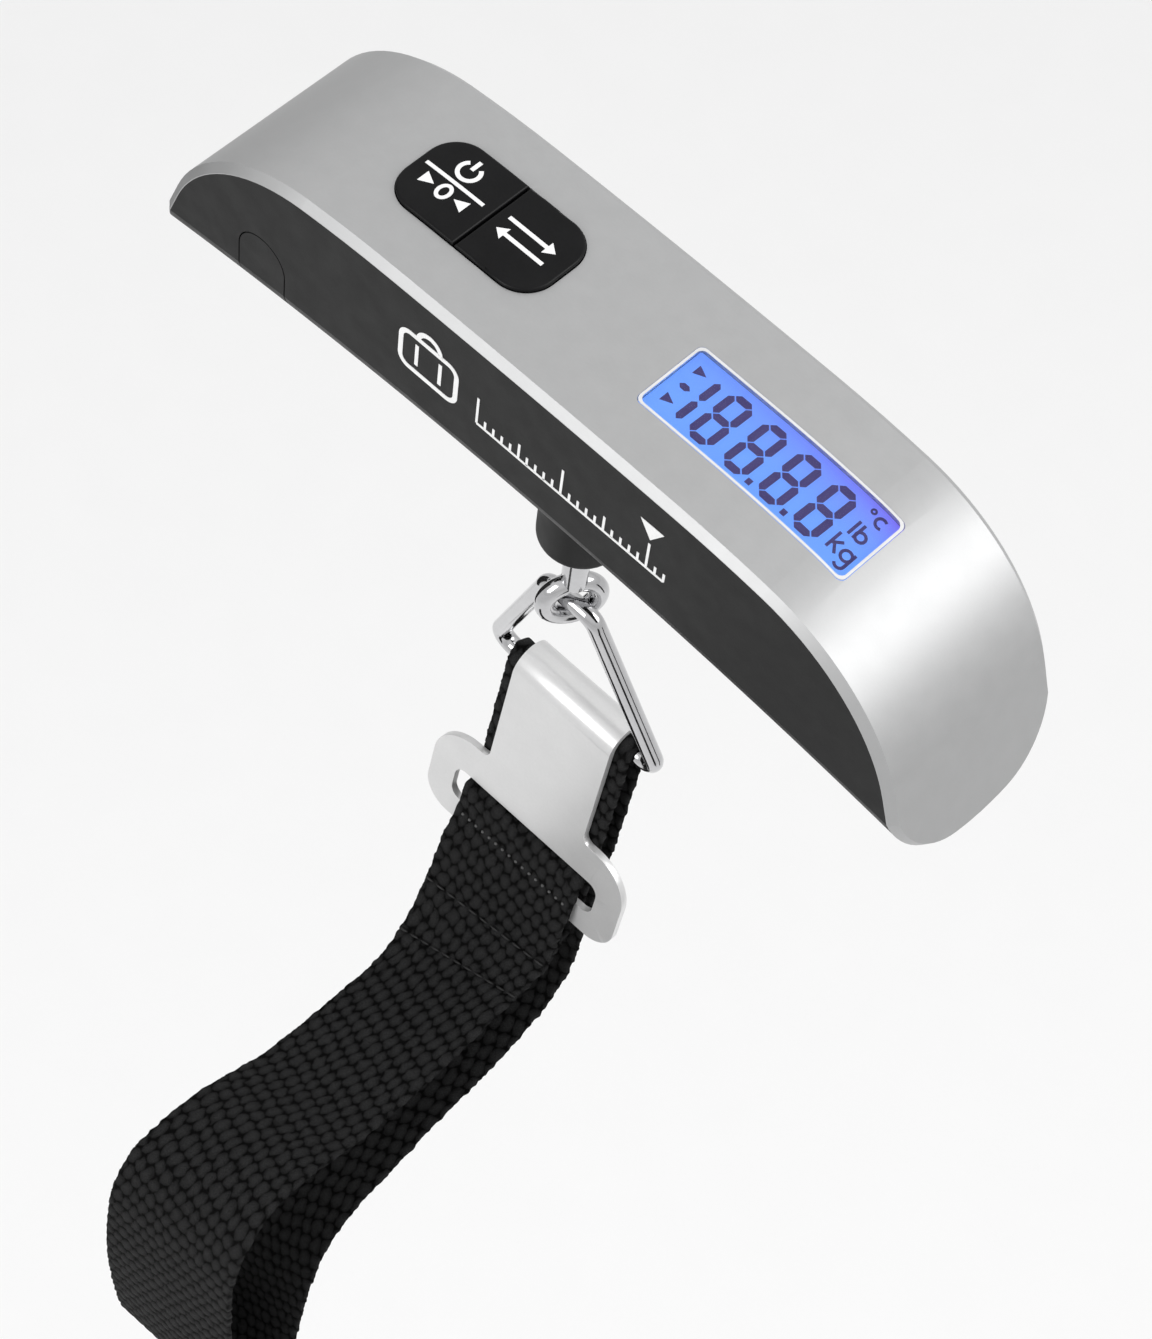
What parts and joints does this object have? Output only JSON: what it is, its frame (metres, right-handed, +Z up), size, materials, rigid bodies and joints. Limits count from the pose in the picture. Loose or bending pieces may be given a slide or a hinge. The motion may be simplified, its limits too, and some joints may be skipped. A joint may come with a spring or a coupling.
{
  "type": "digital luggage scale",
  "caption": "Hand-held digital luggage scale: curved body with keys and display on top, swivelling eye, wire ring, flat hook and webbing strap below.",
  "frame": {"origin": "middle of the body, on the vertical axis of the eye bolt, level with the two lower corners of the front face", "axes": "+X along the body towards the display, -Y out of the front face with the battery tab, +Z up out of the cover"},
  "size_m": [0.1394, 0.0938, 0.2219],
  "materials": {
    "cover_silver": "satin silver lacquer",
    "housing_black": "fine satin black",
    "door_black": "fine satin black",
    "key_black": "smooth dark rubber",
    "window_clear": "clear tinted plastic",
    "lcd_blue": "blue-lit display",
    "frame_white": "white moulding",
    "backlight": "clear diffuser",
    "pin_metal": "tinned",
    "board_green": "solder mask",
    "chip_black": "epoxy",
    "switch_metal": "plated",
    "screw_steel": "zinc",
    "tray_black": "moulded",
    "cell_steel": "plain steel",
    "contact_brass": "plated",
    "cell_aluminium": "machined",
    "gauge_film": "film",
    "frame_steel": "zinc plated",
    "wire_red": "insulation",
    "screw_black": "blackened",
    "eye_chrome": "polished",
    "washer_brass": "plain",
    "ring_chrome": "polished",
    "hook_nickel": "nickel plated",
    "strap_nylon": "woven nylon webbing"
  },
  "bodies": {
    "housing": {"top_cover": "cover_silver", "lower_housing": "housing_black", "display_window": "window_clear", "lcd_glass": "lcd_blue", "lcd_frame": "frame_white", "backlight_panel": "backlight", "display_pins": "pin_metal", "main_board": "board_green", "controller_chip": "chip_black", "key_switches": "switch_metal", "board_screws": "screw_steel", "battery_tray": "tray_black", "coin_cell": "cell_steel", "contact_negative": "contact_brass", "contact_positive": "contact_brass", "load_cell": "cell_aluminium", "strain_gauges": "gauge_film", "support_frame": "frame_steel", "load_cell_screws": "screw_steel", "signal_wires": "wire_red", "housing_screws": "screw_black"},
    "power_button": {"power_key": "key_black"},
    "unit_button": {"unit_key": "key_black"},
    "door": {"battery_door": "door_black"},
    "swivel": {"eye_bolt": "eye_chrome", "thrust_washer": "washer_brass", "retaining_nut": "screw_steel"},
    "ring": {"wire_ring": "ring_chrome"},
    "hook": {"hook_plate": "hook_nickel", "strap": "strap_nylon"}
  },
  "joints": [
    {"name": "power_press", "type": "slide", "parent": "housing", "child": "power_button", "axis": [0, 0, -1], "range_m": [0, 0.0004], "stiffness_N_per_m": 1500},
    {"name": "unit_press", "type": "slide", "parent": "housing", "child": "unit_button", "axis": [0, 0, -1], "range_m": [0, 0.0004], "stiffness_N_per_m": 1500},
    {"name": "door_pull", "type": "slide", "parent": "housing", "child": "door", "axis": [0, 0, -1], "range_m": [0, 0.014]},
    {"name": "eye_swivel", "type": "hinge", "parent": "housing", "child": "swivel", "pos_m": [0, 0, -0.02], "axis": [0, 0, 1], "continuous": true},
    {"name": "ring_swing", "type": "hinge", "parent": "swivel", "child": "ring", "pos_m": [0, 0, -0.03875], "axis": [1, 0, 0], "range_deg": [-30, 40]},
    {"name": "hook_swing", "type": "hinge", "parent": "ring", "child": "hook", "pos_m": [0, 0.0052, -0.0718], "axis": [1, 0, 0], "range_deg": [-35, 40]}
  ]
}
